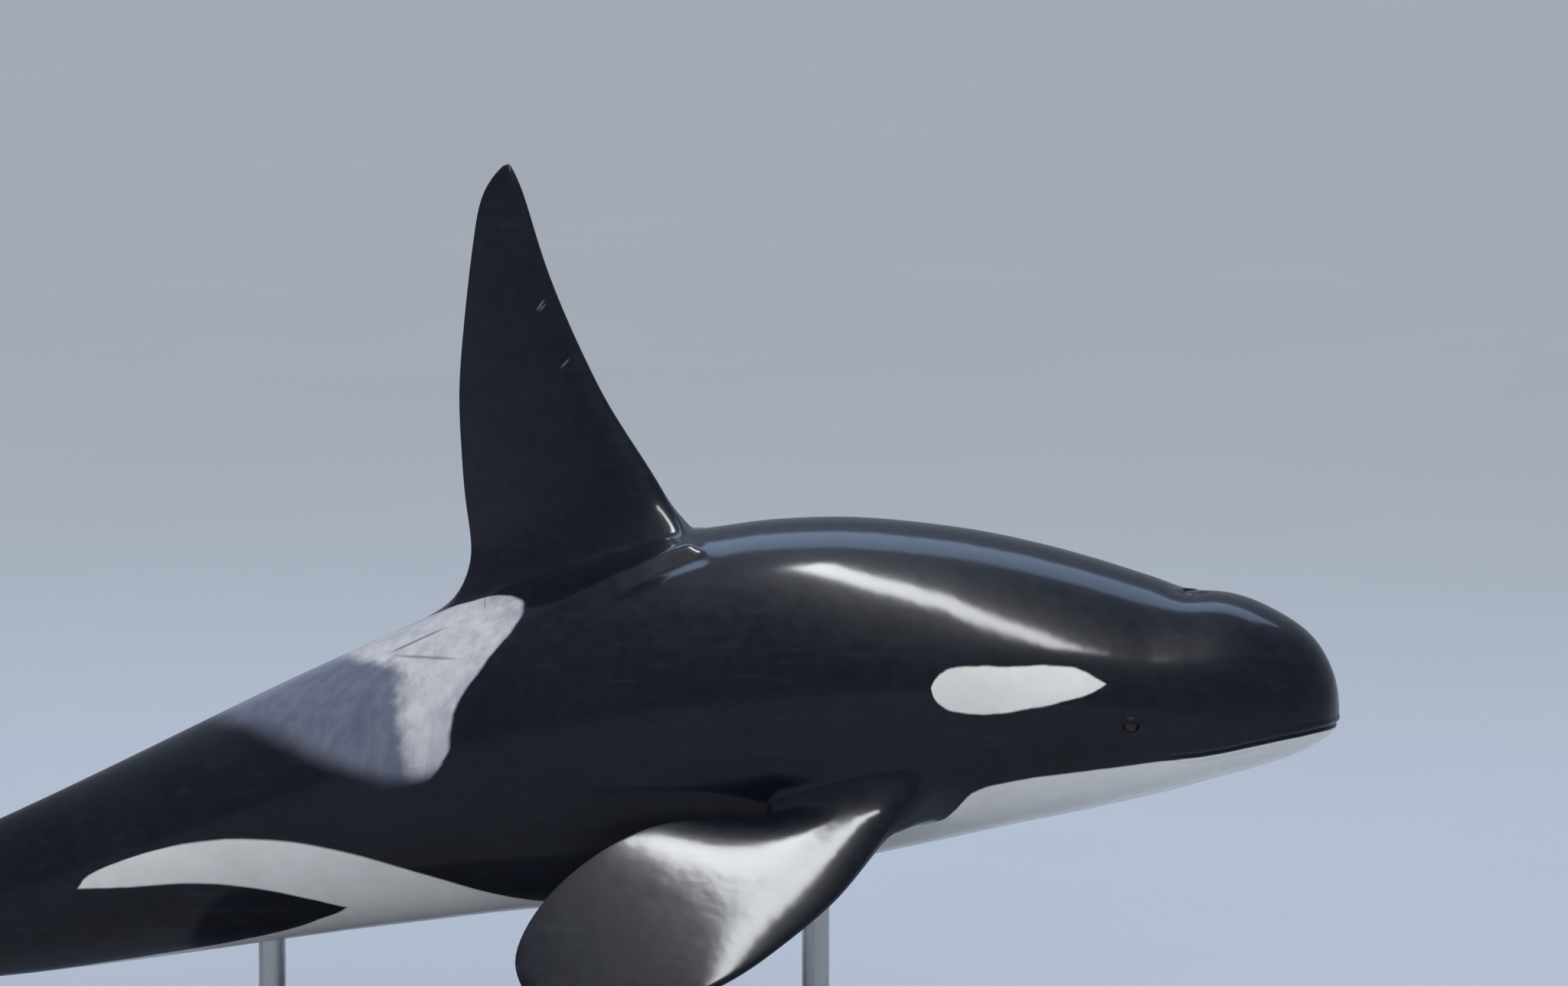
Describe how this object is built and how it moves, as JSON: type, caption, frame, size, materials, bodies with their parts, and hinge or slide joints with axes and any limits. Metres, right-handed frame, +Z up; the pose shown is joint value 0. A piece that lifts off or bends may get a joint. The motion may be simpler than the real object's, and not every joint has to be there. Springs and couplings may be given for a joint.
{
  "type": "orca",
  "caption": "Life-size still model of an adult bull orca, back arched as it surfaces, tall upright dorsal fin, carried on two short rods over a flat display base.",
  "frame": {"origin": "middle of the underside of the stand's base, on the floor", "axes": "+X from the tail towards the snout, +Y to the animal's left, +Z up"},
  "size_m": [7.2757, 3.0414, 3.642],
  "materials": {
    "dark_skin": "wet, glossy black skin with a navy cast",
    "pale_skin": "wet, glossy off-white skin",
    "eye": "polished dark brown",
    "stand_plate": "satin grey paint",
    "stand_rod": "satin steel"
  },
  "bodies": {
    "root": {"head": "dark_skin", "chest": "dark_skin", "midbody": "dark_skin", "hindbody": "dark_skin", "tail_stock": "dark_skin", "dorsal_fin": "dark_skin", "flipper_left": "dark_skin", "flipper_right": "dark_skin", "fluke_left": "dark_skin", "fluke_right": "dark_skin", "lower_jaw": "pale_skin", "eye_left": "eye", "eye_right": "eye", "stand_base": "stand_plate", "stand_rod_front": "stand_rod", "stand_rod_rear": "stand_rod"}
  },
  "joints": []
}
